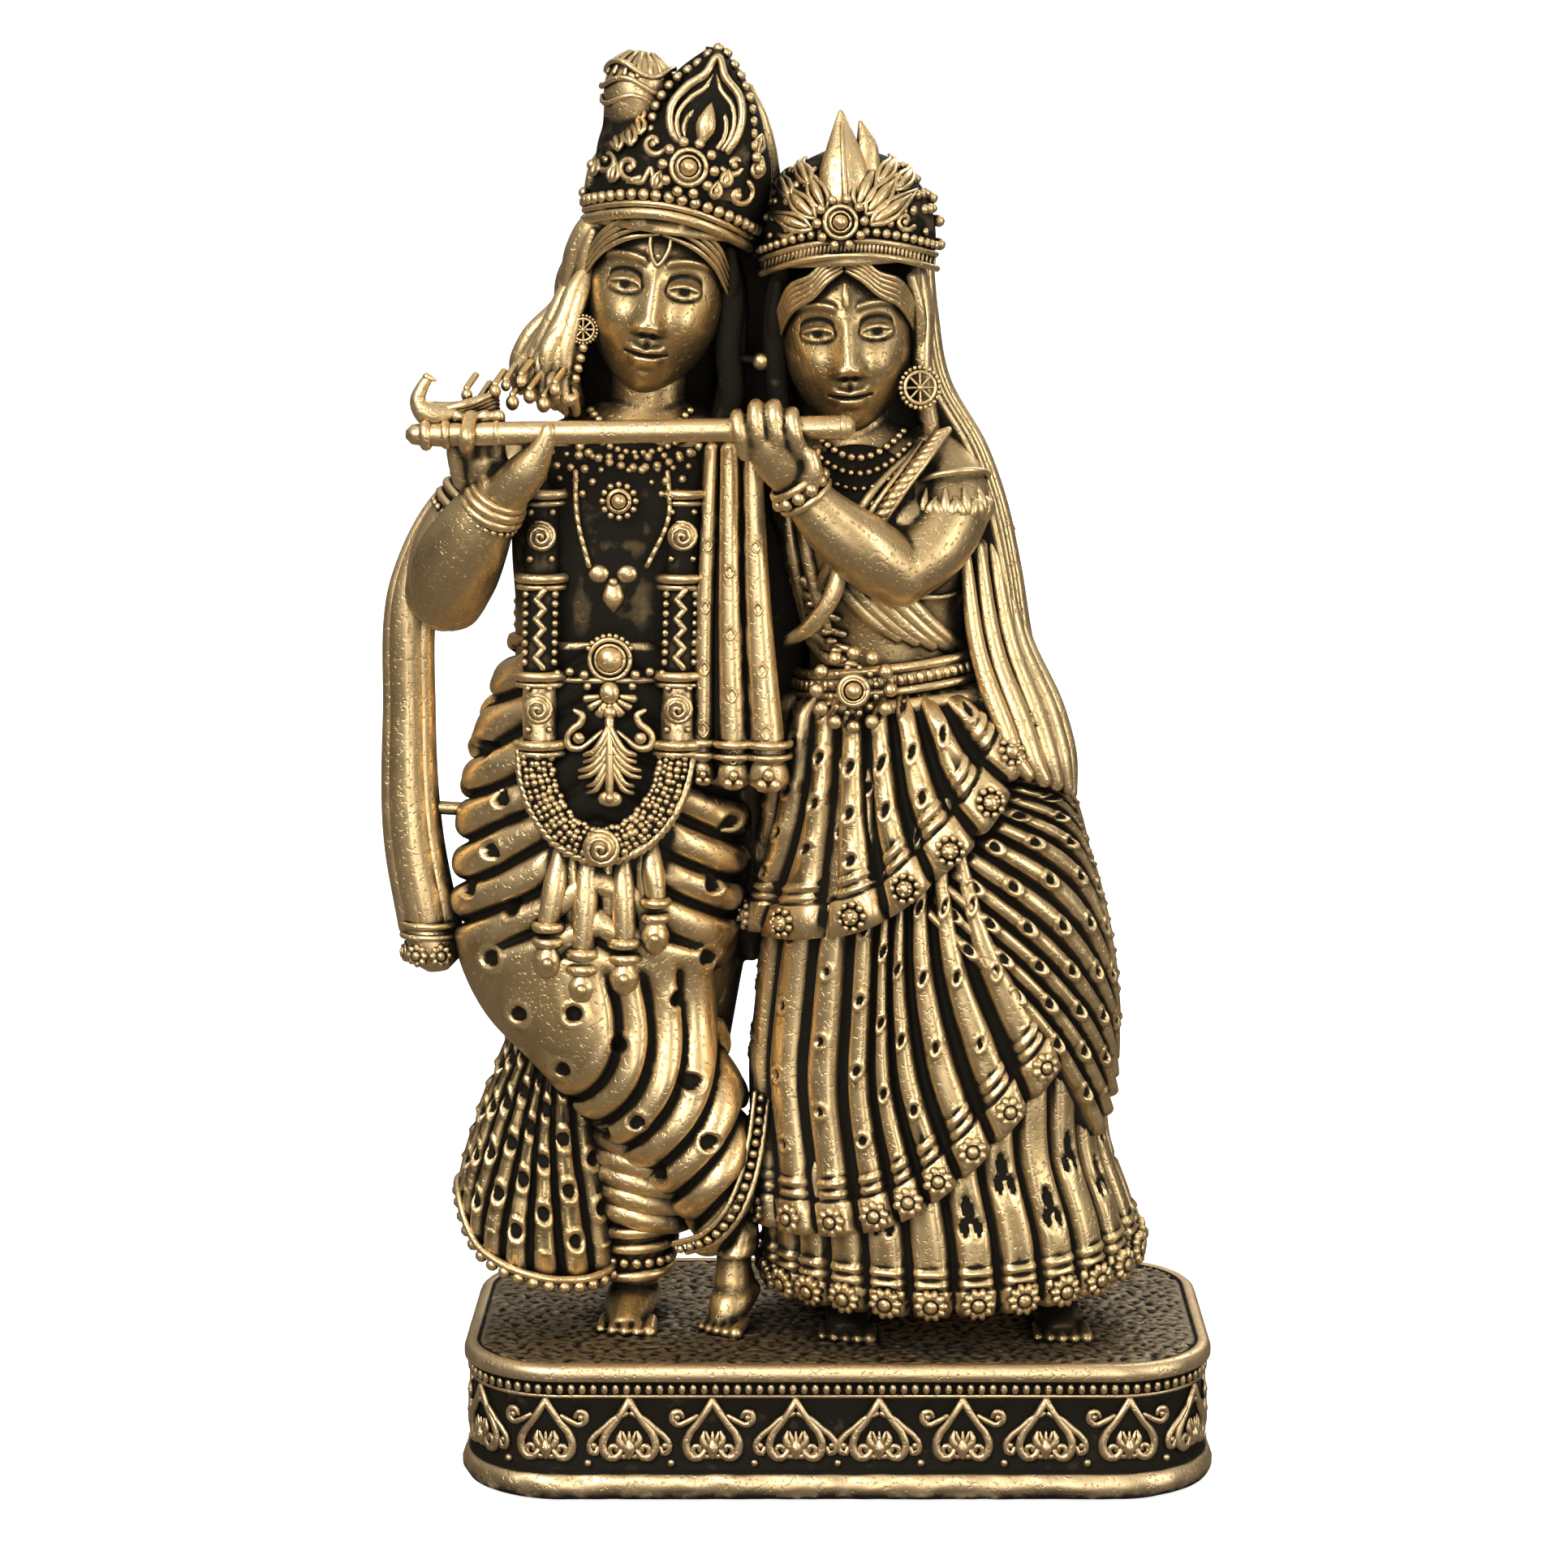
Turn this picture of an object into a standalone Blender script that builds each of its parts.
"""A cast brass statue of two standing deities, one with a flute, on an oblong plinth with rounded corners.

Two pieces: the figure group, cast in one, and the plinth that it stands on. Metres, +Z up, the front at -Y.
The group is a free form. Its pose and carving are shares of GROUP_HEIGHT, written in units of which the
group is GROUP_UNITS tall, with height 0 at the soles. The plinth's own sizes are written in metres.
"""

import math

import bmesh
import bpy
import numpy as np
from mathutils import Matrix

# The figure group
GROUP_HEIGHT = 0.1576
GROUP_UNITS = 157.6
UNIT = GROUP_HEIGHT / GROUP_UNITS
CAST_GRAIN = 0.55
SOLE = 0.15
GROUP_TRIANGLES = 7250

# The plinth
PLINTH_WIDTH = 0.0928
PLINTH_DEPTH = 0.048
PLINTH_HEIGHT = 0.0169
CORNER_RADIUS = 0.0130
FOOT_HEIGHT = 0.0036
RIM_HEIGHT = 0.0028
RIM_INSET = 0.0004
RIM_ROUNDING = 0.0007
BAND_INSET = 0.0012
TOP_BORDER = 0.0030
TOP_SINK = 0.0004
MOTIF_PITCH = 0.0102
MOTIF_WIRE = 0.00042
SOLE_GAP = 0.0003

BRASS = (0.62, 0.44, 0.17, 1.0)
TAU = 2 * math.pi


def smooth(at, knots, values):
    """Values between the knots on a smooth curve through all of them."""
    knots, values = np.asarray(knots, float), np.asarray(values, float)
    at = np.clip(np.asarray(at, float), knots[0], knots[-1])
    slope = np.gradient(values, knots, axis=0)
    i = np.clip(np.searchsorted(knots, at, side="right") - 1, 0, len(knots) - 2)
    step = knots[i + 1] - knots[i]
    t = (at - knots[i]) / step
    if values.ndim > 1:
        t, step = t[..., None], step[..., None]
    a, b, ma, mb = values[i], values[i + 1], slope[i] * step, slope[i + 1] * step
    blend = 3 * t**2 - 2 * t**3
    return a + (b - a) * blend + (t**3 - 2 * t**2 + t) * ma + (t**3 - t**2) * mb


def ramp(value, low, high):
    """0 below low, 1 above high, and smooth between."""
    t = np.clip((np.asarray(value, float) - low) / (high - low), 0, 1)
    return t * t * (3 - 2 * t)


def pleat(phase, groove=0.3):
    """The height of pleats, one to each whole phase: rounded ridges with narrow grooves between."""
    s = np.abs(2 * (phase - np.floor(phase)) - 1)
    return np.sqrt(np.clip(1 - s ** (1 / groove), 0, 1))


class Casting:
    """Gathers closed shapes, in units, that are fused into one casting."""

    def __init__(self):
        self.shape = bmesh.new()
        self.sphere = bpy.data.meshes.new("sphere")
        sphere = bmesh.new()
        bmesh.ops.create_uvsphere(sphere, u_segments=14, v_segments=9, radius=1)
        sphere.to_mesh(self.sphere)
        sphere.free()

    def take(self, mesh, matrix):
        """Take in a mesh, placed by the matrix, and remove it."""
        mesh.transform(matrix)
        self.shape.from_mesh(mesh)
        bpy.data.meshes.remove(mesh)

    def gather(self, maker, scale=(1, 1, 1)):
        """Take in an object's shape with its modifiers applied, and remove the object."""
        bpy.context.scene.collection.objects.link(maker)
        self.take(evaluated(maker), Matrix.Diagonal((*scale, 1)))
        bpy.data.objects.remove(maker)

    def loft(self, rings):
        """Rings of points, lowest first and each anticlockwise from above, joined and closed at both ends."""
        rows, cols = rings.shape[:2]
        verts = [[self.shape.verts.new(point) for point in ring] for ring in rings]
        for row in range(rows - 1):
            for col in range(cols):
                beside = (col + 1) % cols
                corners = (verts[row][col], verts[row][beside], verts[row + 1][beside], verts[row + 1][col])
                self.shape.faces.new(corners)
        self.shape.faces.new(verts[0][::-1])
        self.shape.faces.new(verts[-1])

    def cloth(self, front, thick):
        """A sheet from its front points, in rows from the top and columns from left to right."""
        rows, cols = front.shape[:2]
        sheet = bmesh.new()
        verts = [[sheet.verts.new(point) for point in row] for row in front]
        for row in range(rows - 1):
            for col in range(cols - 1):
                corners = (verts[row][col], verts[row + 1][col], verts[row + 1][col + 1], verts[row][col + 1])
                sheet.faces.new(corners)
        mesh = bpy.data.meshes.new("cloth")
        sheet.to_mesh(mesh)
        sheet.free()
        maker = bpy.data.objects.new("cloth", mesh)
        shell = maker.modifiers.new("thickness", "SOLIDIFY")
        shell.thickness = thick
        shell.offset = -1
        self.gather(maker)

    def tube(self, path, radii, flat=(1, 1, 1), step=1.2):
        """A bar with rounded ends along a smooth curve, its section squashed along the axes by flat."""
        path = np.asarray(path, float)
        along = np.concatenate([[0], np.cumsum(np.linalg.norm(np.diff(path, axis=0), axis=1))])
        at = np.linspace(0, along[-1], max(3, int(along[-1] / step)))
        line, radius = smooth(at, along, path) / flat, smooth(at, along, radii)
        curve = bpy.data.curves.new("tube", "CURVE")
        curve.dimensions = "3D"
        curve.bevel_depth = 1.0
        curve.bevel_resolution = 3
        curve.use_fill_caps = True
        spline = curve.splines.new("POLY")
        spline.points.add(len(line) - 1)
        for point, place_at, size in zip(spline.points, line, radius):
            point.co = (*place_at, 1)
            point.radius = size
        self.gather(bpy.data.objects.new("tube", curve), flat)
        for end in (0, -1):
            self.ball(line[end] * flat, radius[end] * np.array(flat))

    def ball(self, centre, radii, frame=Matrix()):
        """An ellipsoid, which a frame can place within a head."""
        radii = np.broadcast_to(np.asarray(radii, float), 3)
        self.take(self.sphere.copy(), frame @ Matrix.Translation(centre) @ Matrix.Diagonal((*radii, 1)))

    def mesh(self, name):
        """The gathered shapes in metres, with nothing below the soles."""
        mesh = bpy.data.meshes.new(name)
        for vert in self.shape.verts:
            vert.co.z = max(vert.co.z, SOLE)
        self.shape.to_mesh(mesh)
        mesh.transform(Matrix.Scale(UNIT, 4))
        self.shape.free()
        return mesh


def evaluated(body):
    """A new mesh of the object's shape with its modifiers applied."""
    graph = bpy.context.evaluated_depsgraph_get()
    return bpy.data.meshes.new_from_object(body.evaluated_get(graph))


def head_frame(tilt, x, y, z):
    """A head's own frame: its centre, and its tilt in degrees towards the viewer's right."""
    return Matrix.Translation((x, y, z)) @ Matrix.Rotation(math.radians(tilt), 4, "Y")


def place(points, frame):
    """Points of a frame set in the group's frame."""
    return np.asarray(points, float) @ np.array(frame.to_3x3()).T + np.array(frame.translation)


class Form:
    """An upright body form: rows of (height, centre x, centre y, half width, half depth), lowest first."""

    def __init__(self, *rows):
        self.rows = np.array(rows, float)

    def section(self, height):
        return np.moveaxis(smooth(height, self.rows[:, 0], self.rows[:, 1:]), -1, 0)

    def point(self, turn, height, lift=0.0):
        """The point at an angle from the front, in radians to the right, pushed out by lift."""
        turn, height, lift = (part.astype(float) for part in np.broadcast_arrays(turn, height, lift))
        x, y, wide, deep = self.section(height)
        return np.stack([x + (wide + lift) * np.sin(turn), y - (deep + lift) * np.cos(turn), height], -1)

    def turn(self, x, height):
        """The angle from the front at which the surface has this x at this height."""
        centre, _, wide, _ = self.section(np.asarray(float(height)))
        return math.asin(max(-1.0, min(1.0, (x - centre) / wide)))

    def rings(self, low, high, rows, sides, lift=None):
        heights = np.linspace(low, high, rows)
        turn = (np.arange(sides) * TAU / sides)[None, :]
        turn, heights = np.broadcast_arrays(turn, heights[:, None])
        return self.point(turn, heights, 0 if lift is None else lift(turn, heights))


def drape(group, form, guides, pleats, rows, lift, rise, thick=2.2, groove=0.3, hem=0.0, samples=7):
    """A pleated cloth on a form.

    Each guide is a line of (turn, height) from the cloth's top to its hem, the first at its left edge.
    The pleats run along the guides, stand rise above lift, and the hem has a raised edge.
    """
    lines = np.array(guides, float)
    across = np.linspace(0, 1, pleats * samples + 1)
    down = np.linspace(0, 1, rows)
    flat = lines.reshape(len(lines), -1)
    spread = smooth(across, np.linspace(0, 1, len(lines)), flat).reshape(len(across), -1, 2)
    knots = np.linspace(0, 1, lines.shape[1])
    grid = np.stack([smooth(down, knots, line) for line in spread], 1)
    height = pleat(across * pleats, groove)[None, :] * rise + ramp(down, 0.86, 0.93)[:, None] * hem
    group.cloth(form.point(grid[..., 0], grid[..., 1], lift + height), thick)


def line(form, *points):
    """A guide whose points are given as (x, height) on the front of a form."""
    return [(form.turn(x, z), z) for x, z in points]


# The flute player stands at -X and the companion at +X.
KRISHNA_HEAD = head_frame(8.0, -21.9, -1.5, 127.6)
RADHA_HEAD = head_frame(-3.0, 1.2, -1.0, 122.3)
FLUTE = [(-47.6, -15.2, 111.7), (-24.0, -15.6, 112.1), (0.8, -15.8, 112.6)]
FLUTE_RADIUS = 1.45

KRISHNA_LEGS = Form(
    (11.0, -13.8, -4.0, 3.2, 3.8), (17.0, -15.9, -5.0, 5.4, 5.5), (22.0, -18.5, -5.0, 7.6, 7.0),
    (28.0, -21.8, -4.5, 10.3, 8.5), (34.0, -25.6, -3.5, 12.0, 10.0),
    (38.0, -28.2, -2.5, 13.6, 10.8), (44.0, -29.9, -1.5, 15.5, 11.3),
    (50.0, -29.7, -1.0, 17.1, 11.5), (60.0, -29.0, -0.5, 17.6, 11.3),
    (70.0, -28.7, -0.5, 16.4, 10.5), (78.0, -28.2, -0.5, 14.4, 9.5), (86.0, -27.0, -0.5, 12.4, 8.5),
)
KRISHNA_TORSO = Form(
    (80.0, -27.6, 0.0, 12.2, 8.0), (88.0, -27.0, 0.0, 12.4, 8.0), (96.0, -26.2, 0.0, 13.6, 8.6),
    (102.0, -25.0, 0.0, 14.8, 9.0), (107.0, -24.6, 0.0, 15.2, 8.5), (111.0, -24.0, 0.3, 12.0, 7.0),
    (114.5, -23.4, 0.5, 5.5, 5.0),
)
FLARE = Form(
    (6.0, -36.9, 0.5, 8.6, 9.0), (15.0, -37.6, 0.5, 8.9, 8.0), (25.0, -37.0, 0.5, 7.2, 6.6),
    (36.0, -35.0, 0.5, 5.2, 5.0),
)
RADHA_SKIRT = Form(
    (3.6, 14.2, 0.0, 21.6, 16.4), (6.0, 14.2, 0.0, 22.6, 17.0), (12.0, 13.9, 0.0, 23.0, 17.0),
    (24.0, 12.2, 0.0, 21.2, 16.0), (33.0, 12.0, 0.0, 21.2, 15.6), (40.0, 12.4, 0.0, 20.9, 15.2),
    (50.0, 12.2, 0.0, 19.8, 14.6), (57.5, 11.7, 0.0, 18.4, 13.6), (69.0, 10.3, 0.0, 15.6, 11.6),
    (76.0, 8.6, 0.0, 12.9, 9.8), (84.0, 6.6, 0.0, 10.3, 8.2),
)
RADHA_TORSO = Form(
    (78.0, 7.4, 0.0, 11.4, 8.4), (84.0, 6.6, 0.0, 10.1, 8.0), (90.0, 5.8, 0.0, 10.4, 8.4),
    (97.0, 4.9, -1.0, 12.0, 9.4), (103.0, 4.6, 0.0, 13.0, 8.6), (108.0, 3.8, 0.5, 10.5, 6.5),
    (112.0, 3.0, 0.5, 4.6, 4.4),
)
VEIL = Form(
    (62.0, 14.5, 2.0, 14.6, 12.6), (70.0, 12.4, 2.0, 14.2, 11.4), (84.0, 8.8, 2.0, 13.8, 10.0),
    (94.0, 7.6, 2.0, 13.4, 9.6), (103.0, 6.2, 2.2, 12.8, 9.0), (109.0, 5.2, 2.4, 11.6, 8.6),
    (117.0, 2.4, 2.2, 9.8, 9.0), (125.0, 1.4, 1.6, 9.2, 9.4), (134.0, 1.0, 1.2, 8.8, 9.4),
)

FOLD_PIVOT = (-39.0, 40.0)
FOLD_SPACING = 5.2
HIP_FOLD_SPACING = 5.0


def dhoti_folds(turn, height):
    """Folds of the loincloth: arcs round the right knee below, slanting pleats over the hips above."""
    x, _, wide, _ = KRISHNA_LEGS.section(height)
    x = x + wide * np.sin(turn)
    front = ramp(np.cos(turn), -0.2, 0.3)
    reach = np.hypot(x - FOLD_PIVOT[0], height - FOLD_PIVOT[1])
    arcs = pleat(reach / FOLD_SPACING, 0.5) * ramp(reach, 8, 13) * (1 - ramp(height, 40, 46)) * front
    side = np.where(x < -29, 1.0, -1.0)
    below_waist = 1 - ramp(height, 80, 85)
    slant = pleat((height * 0.88 - side * (x + 29) * 0.47) / HIP_FOLD_SPACING, 0.5) * ramp(height, 47, 52)
    behind = pleat((height + 0.5 * x) / (1.2 * HIP_FOLD_SPACING), 0.5) * (1 - front)
    return 1.5 * arcs + 1.2 * np.where(front > 0.5, slant, behind) * below_waist - 0.6


def krishna_lower(group):
    """The flute player's loincloth, torso, crossed legs, feet and the flared cloth beside them."""
    group.loft(KRISHNA_LEGS.rings(11, 86, 90, 96, dhoti_folds))
    group.loft(KRISHNA_TORSO.rings(80, 114.5, 26, 40))
    group.tube([(-19, 2.5, 46), (-22, 2.5, 26), (-24.8, 0.5, 13), (-25.6, -0.5, 5.5)], [7.5, 6.5, 5.2, 4.2])
    group.tube([(-25.6, -0.5, 5), (-25.9, -3.5, 3), (-26.3, -7.6, 1.6)], [3.4, 2.9, 2.0], flat=(1, 1, 0.9))
    group.tube(
        [(-13.4, -3.8, 12), (-12.9, -4.6, 7), (-13.0, -6.0, 3.2), (-14.2, -7.8, 1.5)],
        [3.0, 2.3, 2.6, 1.8],
    )
    for k in range(5):
        group.ball((-28.4 + 1.15 * k, -9.0 + 0.35 * abs(k - 1), 0.9), (0.75, 1.5, 0.85))
    drape(
        group, FLARE,
        [
            [(-math.pi, 36), (-math.pi, 24), (-math.pi, 13)],
            [(-1.5, 34), (-1.5, 25), (-1.5, 15.5)],
            line(FLARE, (-38.5, 31), (-40.6, 19), (-41.6, 8.5)),
            line(FLARE, (-33, 28), (-31.6, 17), (-30.6, 5.6)),
            [(math.pi, 36), (math.pi, 24), (math.pi, 13)],
        ],
        pleats=16, rows=12, lift=-0.3, rise=1.5, thick=3.0, hem=0.5,
    )
    group.loft(FLARE.rings(10, 36, 8, 24, lambda turn, height: -1.5 + 0 * turn))


def krishna_arms(group):
    """The near arm up to the flute, and the far arm behind the companion's back."""
    group.tube(
        [(-38.5, 1.5, 106), (-44.0, 2.0, 101), (-46.8, 1.0, 94), (-46.6, -2.5, 89)], [4.6, 4.6, 4.5, 4.6],
    )
    group.tube(
        [(-46.6, -3.0, 88.8), (-45.8, -6.5, 93.6), (-43.2, -10.0, 99.5), (-40.4, -12.0, 104.5)],
        [4.6, 5.0, 4.3, 3.2],
    )
    group.tube(
        [(-40.6, -12.0, 104), (-38.4, -13.4, 107), (-35.4, -14.6, 109.6)], [2.9, 3.3, 2.4],
        flat=(1, 0.75, 1),
    )
    group.tube([(-36.5, -15.0, 107.6), (-34.6, -16.2, 110.4), (-33.9, -16.4, 112.6)], [1.7, 1.35, 1.05])
    for k in range(3):
        group.tube(
            [
                (-39.6 - 2 * k, -13.4, 108 + 0.4 * k), (-40.6 - 2 * k, -16.6, 110.4),
                (-40.4 - 2 * k, -16.2, 113.4),
            ],
            [1.2, 1.1, 0.9],
        )
    group.tube([(-43.0, -12.4, 104.9), (-37.9, -13.6, 102.6)], [2.6, 2.6], flat=(1, 1.1, 1))
    group.tube([(-12, 1, 106), (-3, 8.0, 103), (9, 10.6, 99.5), (16.5, 8.4, 98)], [4.2, 3.9, 3.5, 2.8])
    group.ball((18.6, 6.6, 97.8), (2.2, 3.6, 2.9))


def krishna_head(group):
    """The flute player's head, long hair and crown with a tall petal and a knob."""
    group.tube([(-23.2, 0, 110), (-22.6, -0.5, 121)], [4.6, 4.4])
    group.ball((0, 0, 0.4), (8.5, 9.2, 11.0), KRISHNA_HEAD)
    group.ball((-0.2, -9.3, -0.8), (1.1, 1.5, 2.3), KRISHNA_HEAD)
    group.ball((0, -8.0, -5.6), (2.4, 1.5, 1.2), KRISHNA_HEAD)
    group.tube(
        [(-28.8, 2, 134), (-31.0, 1, 127), (-33.6, -1, 121.5), (-36.6, -3, 116.5)], [3.0, 3.6, 4.2, 3.0],
    )
    group.tube([(-33.0, 1, 118), (-37.0, -2, 114), (-40.0, -4, 111.5)], [4.0, 3.4, 2.2])
    group.tube([(-14, 2, 134), (-12.0, 2, 126), (-12.2, 1, 118), (-14, 2, 110)], [3.4, 3.8, 3.6, 3.0])
    group.tube(
        [(-21.5, 5, 131), (-23, 7, 117), (-24, 7.6, 104), (-24.4, 7.2, 94)], [8.4, 9.0, 8.4, 4.5],
        flat=(1, 0.6, 1),
    )
    crown = Form(
        (8.0, 0.5, 0, 9.8, 10.6), (12, 1.2, 0, 10.6, 10.8), (16, 1.8, 0, 10.0, 10.2),
        (20, 2.6, 0, 8.0, 8.4), (24, 3.0, 0, 6.0, 6.0), (28, 3.2, 0, 3.0, 3.2), (29.6, 3.2, 0, 1.2, 1.4),
    )
    group.loft(place(crown.rings(8.0, 30.0, 18, 28), KRISHNA_HEAD))
    half = ((4.0, 13), (4.9, 18), (3.8, 23), (1.4, 28))
    petal = [(-wide, z) for wide, z in half] + [(0, 29.9)] + [(wide, z) for wide, z in half[::-1]]
    petal = [(3.6 + wide, -9.2 + 0.22 * (z - 12), z) for wide, z in petal]
    group.tube(place(petal, KRISHNA_HEAD), [1.1] * len(petal))
    group.ball((-1.0, -11.0, 13.2), (3.4, 1.6, 3.4), KRISHNA_HEAD)
    group.ball((-5.7, -1.0, 23.6), (3.8, 4.3, 5.0), KRISHNA_HEAD)
    group.ball((-5.9, -1.0, 17.4), (4.2, 5.0, 5.2), KRISHNA_HEAD)
    for k in range(11):
        turn = math.radians(-75 + 15 * k)
        group.ball((0.5 + 10.6 * math.sin(turn), -10.8 * math.cos(turn), 9.0), 1.1, KRISHNA_HEAD)


def krishna_garland(group):
    """The long garland, the belt's ornament and its tassels."""
    group.tube(
        [
            (-36.6, -6.2, 104), (-37.0, -7.0, 92), (-37.4, -8.8, 76), (-36.2, -10.6, 69),
            (-33, -12.2, 63.6), (-28.4, -12.8, 61.6), (-24, -12.2, 63.4), (-20, -10.8, 69),
            (-18.0, -8.8, 76), (-17.8, -7.0, 92), (-17.2, -6.2, 104),
        ],
        [2.3, 2.4, 2.4, 2.1, 2.0, 2.6, 2.0, 2.1, 2.4, 2.4, 2.3],
    )
    for x in (-37, -17.9):
        for z in (103, 94, 82.5, 74.4):
            group.tube([(x - 1.6, -7.6, z), (x + 1.6, -7.6, z)], [1.1, 1.1])
    group.ball((-27.6, -9.0, 82.8), (3.0, 1.8, 3.0))
    group.tube(
        [(-27.6, -9.6, 80), (-27.5, -11.2, 74.5), (-27.4, -12.0, 70)], [2.8, 4.2, 2.0], flat=(1, 0.4, 1),
    )
    for top, x, low, end in (
        (-33.2, -34.3, 49, 1.9), (-29.4, -30.2, 46, 2.1), (-25.4, -25.4, 48.5, 1.9),
        (-22, -21.6, 52.6, 1.7),
    ):
        group.tube([(top, -11.2, 60), (x, -12.2, low)], [1.3, end])
    group.ball((-26.2, -8.9, 103.4), (2.9, 1.3, 2.9))


def krishna_scarves(group):
    """The pleated shawl panel, the scarf that hangs from the arm, and the casting's small ties."""
    across = np.linspace(0, 1, 25)
    down = np.linspace(0, 1, 12)[:, None]
    left, right = -14.6 - 1.9 * down, -9.2 + 3.4 * down
    x = left + (right - left) * across
    y = -8.6 - 1.6 * down - 1.5 * pleat(across * 4, 0.4) - 0.8 * ramp(down, 0.88, 0.93)
    group.cloth(np.stack([x, y + 0 * x, 109.5 - 40.5 * down + 0 * x], -1), 7.5)
    group.tube(
        [
            (-41, 4.5, 107), (-48.0, 3.4, 101.0), (-51.6, 0.5, 93), (-52.6, 0, 76), (-52.2, -0.5, 60),
            (-50.3, -1, 46),
        ],
        [2.0, 2.3, 2.6, 2.8, 3.1, 3.3], flat=(1, 0.8, 1),
    )
    group.tube([(-52, 0, 64.5), (-45, 0, 64)], [0.9, 0.9])
    group.tube([(-14, 0, 51.4), (-8, 0, 51.4)], [1.2, 1.2])


def flute(group):
    """The flute, and the small peacock on its end."""
    group.tube(FLUTE, [FLUTE_RADIUS] * 3, step=4)
    group.tube([(-48.6, -15.2, 111.7), (-46.6, -15.3, 111.7)], [1.9, 1.7])
    group.tube(
        [(-47.0, -14.0, 114.0), (-49.4, -14.6, 114.2), (-50.0, -14.8, 116.0), (-48.9, -14.8, 118.6)],
        [1.5, 1.5, 0.9, 0.75], step=0.7,
    )
    group.tube([(-47.2, -14.0, 114.4), (-43.5, -10.5, 116.2), (-38.5, -6.0, 117.5)], [1.3, 1.8, 2.0])


def radha_skirt(group):
    """The companion's skirt: a bottom tier, a middle tier, a sweep round the hip and an apron."""
    skirt = RADHA_SKIRT
    around = [
        [(turn, 40), (turn, 4.4 + 4.0 * ramp(turn, 0.35, 1.5))]
        for turn in np.linspace(-math.pi, math.pi, 9)
    ]
    group.loft(skirt.rings(5.5, 84, 26, 40, lambda turn, height: -0.8 + 0 * turn))
    drape(
        group, skirt, around, pleats=26, rows=8, lift=-1.0, rise=1.5, thick=2.0, groove=0.2,
        hem=0.5, samples=6,
    )
    # Middle tier: from under the apron down to a hem that climbs to the right, then on round the back
    drape(
        group, skirt,
        [
            [(-3.0, 76), (-2.9, 45), (-2.8, 14)],
            line(skirt, (-3.6, 76), (-8.4, 42), (-8.8, 12.0)),
            line(skirt, (3, 74), (1.5, 40), (3.6, 12.6)),
            line(skirt, (8, 72), (9.0, 44), (14.8, 18.5)),
            line(skirt, (13, 70), (18.5, 50), (25.5, 33.5)),
        ],
        pleats=10, rows=14, lift=0.2, rise=1.8, hem=0.5,
    )
    # Right sweep: the cloth drawn round the hip, its pleats fanning out to the right and round the back
    drape(
        group, skirt,
        [
            line(skirt, (10, 62), (19, 50), (28.5, 26.0)),
            [(0.35, 66), (0.95, 48), (1.25, 25)],
            [(0.7, 70), (1.35, 52), (1.75, 26)],
            [(1.3, 72), (1.95, 54), (2.3, 22)],
            [(2.1, 74), (2.7, 54), (2.95, 18)],
            [(2.9, 76), (3.3, 50), (3.5, 14)],
        ],
        pleats=16, rows=12, lift=0.6, rise=1.6, hem=0.4,
    )
    # Apron: the top tier
    drape(
        group, skirt,
        [
            [(-2.2, 82), (-2.0, 66), (-1.75, 52)],
            line(skirt, (-1.6, 80), (-4.4, 64), (-7.6, 50.6)),
            line(skirt, (3.0, 80), (3.0, 66), (3.2, 51.5)),
            line(skirt, (8, 81), (11.0, 69), (14.6, 60.5)),
            line(skirt, (13, 82), (17.0, 76), (20.5, 70.5)),
            [(1.5, 83), (1.5, 78), (1.5, 75)],
        ],
        pleats=10, rows=11, lift=1.7, rise=1.9, thick=3.2, hem=0.6,
    )


def radha_torso(group):
    """The companion's bodice and belt with its rosette."""
    group.loft(RADHA_TORSO.rings(78, 112, 24, 36))
    for x in (0.4, 9.2):
        group.ball((x, -6.6, 98.6), (4.6, 4.2, 4.6))
    for z, lift in ((80.2, 0.9), (82.6, 1.0)):
        turn = np.arange(40) * TAU / 40
        section = ((-0.9, -1), (-0.9, lift), (0.9, lift), (0.9, -1))
        belt = [RADHA_TORSO.point(turn, z + up + 1.4 * np.sin(turn), out) for up, out in section]
        group.loft(np.array(belt))
    group.ball((1.9, -9.8, 80.6), (3.3, 2.0, 3.3))


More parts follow.
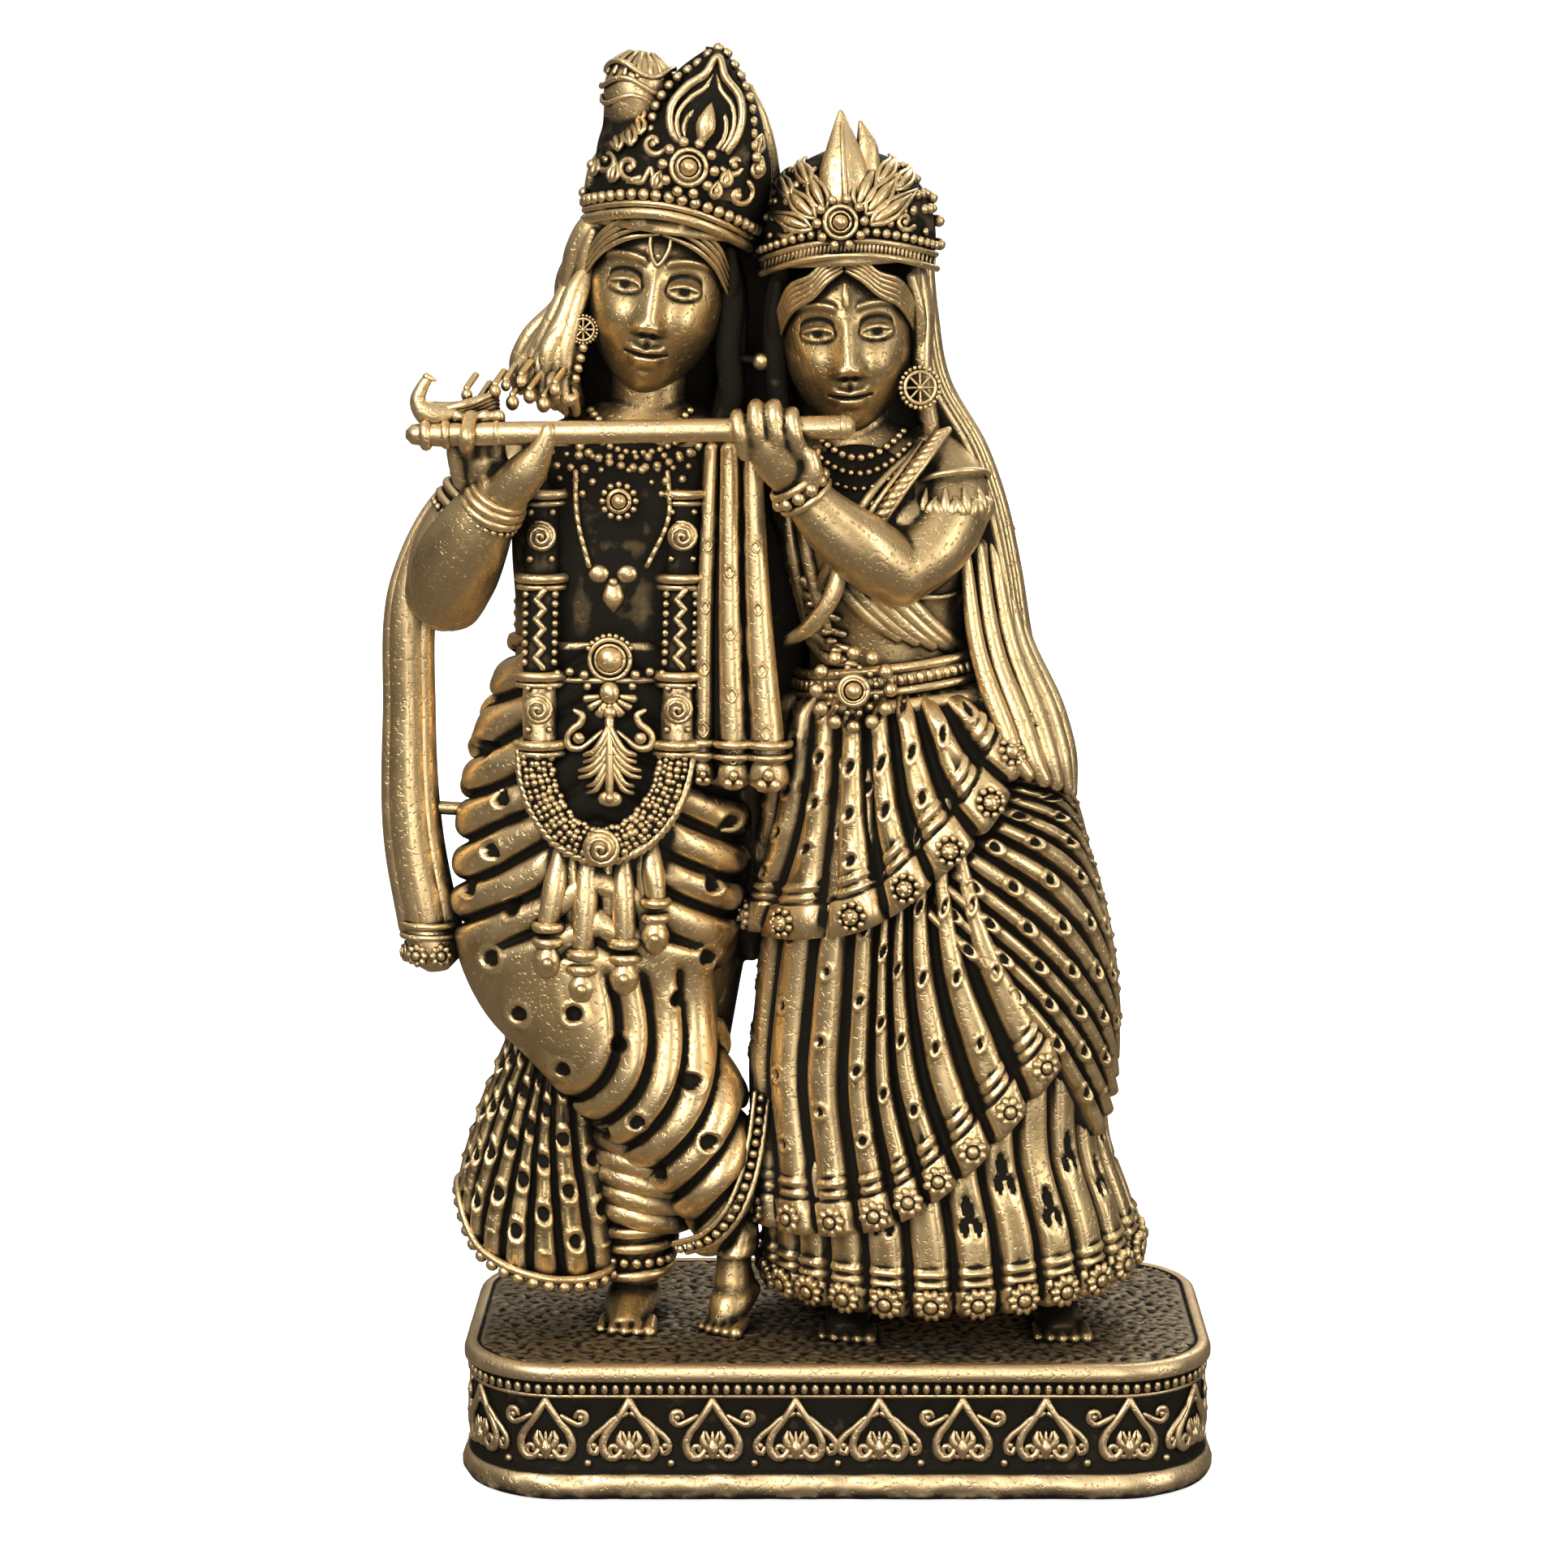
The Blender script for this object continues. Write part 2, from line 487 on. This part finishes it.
def radha_limbs(group):
    """The near arm with its hand on the flute, the far arm behind the flute player's back, and the toes."""
    group.tube(
        [(12.8, -0.5, 106.4), (14.4, -2.5, 101), (12.6, -6.5, 95.2), (8.4, -9.4, 92.0)],
        [4.4, 4.8, 4.4, 4.4],
    )
    group.tube(
        [(8.2, -9.6, 92.0), (3.6, -12.0, 95.6), (-1.4, -13.8, 100.6), (-4.6, -14.8, 104.6)],
        [4.4, 4.2, 3.4, 2.6],
    )
    group.tube(
        [(-4.6, -14.9, 104.4), (-6.6, -16.0, 108), (-8.0, -16.8, 110.8)], [2.3, 3.0, 3.0],
        flat=(1, 0.7, 1),
    )
    for k, top in enumerate((113.8, 114.6, 114.4, 113.6)):
        x = -11.4 + 2.05 * k
        group.tube(
            [(x + 0.6, -17.0, 109.8), (x, -18.2, 112.4), (x - 0.1, -17.4, top), (x, -15.4, top + 0.2)],
            [1.15, 1.1, 1.05, 0.9],
        )
    group.tube([(-3.6, -16.6, 105.4), (-1.2, -13.2, 103.0)], [2.6, 2.4])
    group.tube([(-5, 1, 103), (-12, 7.0, 97), (-25, 8.4, 91), (-33, 6.2, 89)], [4.0, 3.8, 3.3, 2.6])
    group.ball((-36.6, 4.4, 88.4), (3.4, 2.4, 2.8))
    for x, y in ((1.4, -8.5), (27.0, -8.0)):
        group.tube(
            [(x, y + 7, 6), (x, y + 3, 3.2), (x + 0.2, y - 2.2, 1.6)], [3.2, 2.9, 1.9], flat=(1, 1, 0.85),
        )
        for k in range(5):
            group.ball((x - 1.9 + 1.0 * k, y - 3.8 + 0.3 * abs(k - 2), 0.9), (0.65, 1.3, 0.8))


def radha_head(group):
    """The companion's head, hair, crown with a pointed leaf, earring and long veil."""
    group.tube([(2.6, 0, 108), (1.6, -0.5, 117)], [4.6, 4.4])
    group.tube([(1.6, 3.4, 130), (2.4, 3.6, 118), (3.4, 3.4, 106)], [8.6, 8.2, 8.0], flat=(1, 0.7, 1))
    group.tube(
        [(9.6, -1.0, 131), (10.4, -1.4, 124), (10.6, -1.8, 117), (12.0, -1.0, 110)], [2.6, 2.7, 2.6, 2.6],
    )
    group.ball((0, 0, 0.2), (8.1, 9.0, 10.6), RADHA_HEAD)
    group.ball((0, -9.1, -0.9), (1.0, 1.4, 2.1), RADHA_HEAD)
    group.ball((0, -7.8, -5.3), (2.2, 1.4, 1.1), RADHA_HEAD)
    crown = Form(
        (9, 0.6, 0.2, 10.4, 10.4), (12, 0.7, 0.2, 10.6, 10.6), (16, 0.8, 0.2, 9.8, 9.9),
        (19, 0.9, 0.2, 7.9, 8.2), (21.4, 0.9, 0.2, 5.0, 5.6), (22.6, 0.9, 0.2, 2.0, 2.4),
    )
    group.loft(place(crown.rings(9, 22.6, 12, 28), RADHA_HEAD))
    spire = [(0.6, -9.6 + 0.25 * (z - 14), z) for z in (14, 18, 22, 26.4)]
    group.tube(place(spire, RADHA_HEAD), [2.2, 3.1, 2.3, 0.7], flat=(1, 0.5, 1))
    group.ball((0.2, -10.7, 13.0), (3.1, 1.5, 3.1), RADHA_HEAD)
    for side in (-1, 1):
        for k, (reach, rise) in enumerate(((3.4, 19.0), (5.6, 17.2), (7.6, 15.0))):
            group.tube(
                place(
                    [(0.3 + side * 1.4, -10.3, 14), (0.3 + side * reach, -9.6 + 0.2 * reach, rise)],
                    RADHA_HEAD,
                ),
                [0.8, 1.1],
            )
    for k in range(11):
        turn = math.radians(-75 + 15 * k)
        group.ball((0.6 + 10.4 * math.sin(turn), 0.2 - 10.4 * math.cos(turn), 9.2), 1.0, RADHA_HEAD)
    group.ball((9.8, -4.4, 116.6), (2.2, 1.2, 2.3))
    drape(
        group, VEIL,
        [
            [(0.95, 131), (0.95, 112), (1.05, 92), (0.95, 66)],
            [(1.7, 133), (1.7, 112), (1.7, 92), (1.6, 62)],
            [(3.1, 133), (3.1, 112), (3.1, 92), (3.1, 64)],
            [(4.6, 131), (4.6, 112), (4.5, 92), (4.5, 70)],
        ],
        pleats=12, rows=22, lift=0.1, rise=1.6, thick=2.8, groove=0.45, hem=0.0,
    )


def cast(name, group, collection):
    """The gathered shapes as one closed casting, thinned to a faceted solid."""
    body = bpy.data.objects.new(name, group.mesh(name))
    collection.objects.link(body)
    body.location.z = PLINTH_HEIGHT - TOP_SINK + SOLE_GAP
    fuse = body.modifiers.new("fuse", "REMESH")
    fuse.mode = "VOXEL"
    fuse.voxel_size = CAST_GRAIN * UNIT
    bake(body)
    thin = body.modifiers.new("thin", "DECIMATE")
    thin.ratio = GROUP_TRIANGLES / (2 * len(body.data.polygons))
    bake(body)
    drop_slivers(body)
    body.data.materials.append(brass("antique_brass"))
    return body


def bake(body):
    """Apply the object's modifiers."""
    mesh = evaluated(body)
    body.modifiers.clear()
    body.data = mesh


def drop_slivers(body):
    """Remove loose scraps that thinning has cut off, and keep the largest connected shape."""
    shape = bmesh.new()
    shape.from_mesh(body.data)
    waiting, largest = set(shape.verts), set()
    while waiting:
        edge = {waiting.pop()}
        group = set(edge)
        while edge:
            edge = {link.other_vert(vert) for vert in edge for link in vert.link_edges} & waiting
            waiting -= edge
            group |= edge
        largest = max(largest, group, key=len)
    bmesh.ops.delete(shape, geom=[vert for vert in shape.verts if vert not in largest], context="VERTS")
    shape.to_mesh(body.data)
    shape.free()


def brass(name):
    """Polished brass with its own colour and shine."""
    material = bpy.data.materials.new(name)
    material.use_nodes = True
    shader = material.node_tree.nodes["Principled BSDF"]
    shader.inputs["Base Color"].default_value = BRASS
    shader.inputs["Metallic"].default_value = 1.0
    shader.inputs["Roughness"].default_value = 0.34
    return material


def outline(width, depth, radius, arc_steps=5):
    """Points round an oblong with rounded corners, anticlockwise from above."""
    corners = ((1, 1, 0), (-1, 1, 90), (-1, -1, 180), (1, -1, 270))
    points = []
    for side_x, side_y, start in corners:
        centre = (side_x * (width / 2 - radius), side_y * (depth / 2 - radius))
        for k in range(arc_steps + 1):
            turn = math.radians(start + 90 * k / arc_steps)
            points.append((centre[0] + radius * math.cos(turn), centre[1] + radius * math.sin(turn)))
    return points


def block(name, inset, low, high, collection, rounding=0.0):
    """A flat layer of the plinth, its outline drawn in by inset."""
    drawing = bpy.data.curves.new(name, "CURVE")
    drawing.dimensions = "2D"
    drawing.fill_mode = "BOTH"
    drawing.extrude = (high - low) / 2 - rounding
    drawing.bevel_depth = rounding
    drawing.bevel_resolution = 0
    drawing.offset = -rounding
    spline = drawing.splines.new("POLY")
    points = outline(PLINTH_WIDTH - 2 * inset, PLINTH_DEPTH - 2 * inset, CORNER_RADIUS - inset)
    spline.points.add(len(points) - 1)
    for point, (x, y) in zip(spline.points, points):
        point.co = (x, y, 0, 1)
    spline.use_cyclic_u = True
    return meshed(name, drawing, (0, 0, (low + high) / 2), collection)


def meshed(name, curve, location, collection):
    """A curve's shape as a mesh object, its loose caps welded."""
    maker = bpy.data.objects.new(name + "_curve", curve)
    collection.objects.link(maker)
    maker.location = location
    mesh = evaluated(maker)
    shape = bmesh.new()
    shape.from_mesh(mesh)
    bmesh.ops.remove_doubles(shape, verts=shape.verts, dist=1e-6)
    bmesh.ops.recalc_face_normals(shape, faces=shape.faces)
    shape.to_mesh(mesh)
    shape.free()
    made = bpy.data.objects.new(name, mesh)
    collection.objects.link(made)
    made.location = location
    bpy.data.objects.remove(maker)
    return made


def band_path():
    """Points round the recessed band's face, from the front's middle, with the distance to each."""
    steps = 16
    width, depth = PLINTH_WIDTH - 2 * BAND_INSET, PLINTH_DEPTH - 2 * BAND_INSET
    points = outline(width, depth, CORNER_RADIUS - BAND_INSET, steps)
    front = [(0.0, -depth / 2)]
    last_corner = 3 * (steps + 1)
    points = np.array(front + points[last_corner:] + points[:last_corner] + front)
    return points, np.concatenate([[0], np.cumsum(np.linalg.norm(np.diff(points, axis=0), axis=1))])


def band_place(along):
    """The point and the outward direction of the band's face, this far round from the front's middle."""
    points, reach = band_path()
    along %= reach[-1]
    i = min(int(np.searchsorted(reach, along, side="right")) - 1, len(points) - 2)
    heading = (points[i + 1] - points[i]) / (reach[i + 1] - reach[i])
    return points[i] + heading * (along - reach[i]), np.array([heading[1], -heading[0]])


def scrollwork(low, high, collection):
    """Pointed loops of wire side by side round the band, each bent to the plinth's face."""
    length = band_path()[1][-1]
    count = max(8, round(length / MOTIF_PITCH))
    loop = ((-0.12, 0.08), (-0.36, 0.30), (0.0, 0.94), (0.36, 0.30), (0.12, 0.08))
    curve = bpy.data.curves.new("scrollwork", "CURVE")
    curve.dimensions = "3D"
    curve.bevel_depth = MOTIF_WIRE
    curve.bevel_resolution = 0
    curve.use_fill_caps = True
    for index in range(count):
        spline = curve.splines.new("POLY")
        spline.points.add(len(loop) - 1)
        for point, (x, z) in zip(spline.points, loop):
            on_face, out = band_place((index + 0.5 + x) * length / count)
            point.co = (*(on_face + out * MOTIF_WIRE * 0.4), low + (high - low) * z, 1)
    return meshed("scrollwork", curve, (0, 0, 0), collection)


def join(body, cutter, operation):
    """Body after a Boolean with the other object, which is then removed."""
    change = body.modifiers.new(operation, "BOOLEAN")
    change.operation = operation
    change.object = cutter
    bake(body)
    bpy.data.objects.remove(cutter)


def plinth(collection):
    """The oblong plinth: foot, recessed band with scrollwork, rim, and a top sunk inside a border."""
    lap = 0.0002
    rim_low, panel_low = PLINTH_HEIGHT - RIM_HEIGHT, PLINTH_HEIGHT - TOP_SINK
    body = block("plinth", BAND_INSET, lap, PLINTH_HEIGHT - lap, collection)
    join(body, block("foot", 0.0, 0.0, FOOT_HEIGHT, collection, RIM_ROUNDING), "UNION")
    join(body, block("rim", RIM_INSET, rim_low, PLINTH_HEIGHT, collection, RIM_ROUNDING), "UNION")
    join(body, block("panel", TOP_BORDER, panel_low, PLINTH_HEIGHT + RIM_HEIGHT, collection), "DIFFERENCE")
    join(body, scrollwork(FOOT_HEIGHT, rim_low, collection), "UNION")
    body.data.materials.clear()
    body.data.materials.append(brass("plinth_brass"))
    return body


def main():
    for old in list(bpy.data.objects):
        bpy.data.objects.remove(old)
    collection = bpy.data.collections.new("deity_pair_statue")
    bpy.context.scene.collection.children.link(collection)
    plinth(collection)
    group = Casting()
    for shapes in (krishna_lower, krishna_arms, krishna_head, krishna_garland, krishna_scarves, flute):
        shapes(group)
    for shapes in (radha_skirt, radha_torso, radha_limbs, radha_head):
        shapes(group)
    cast("figure_pair", group, collection)


main()
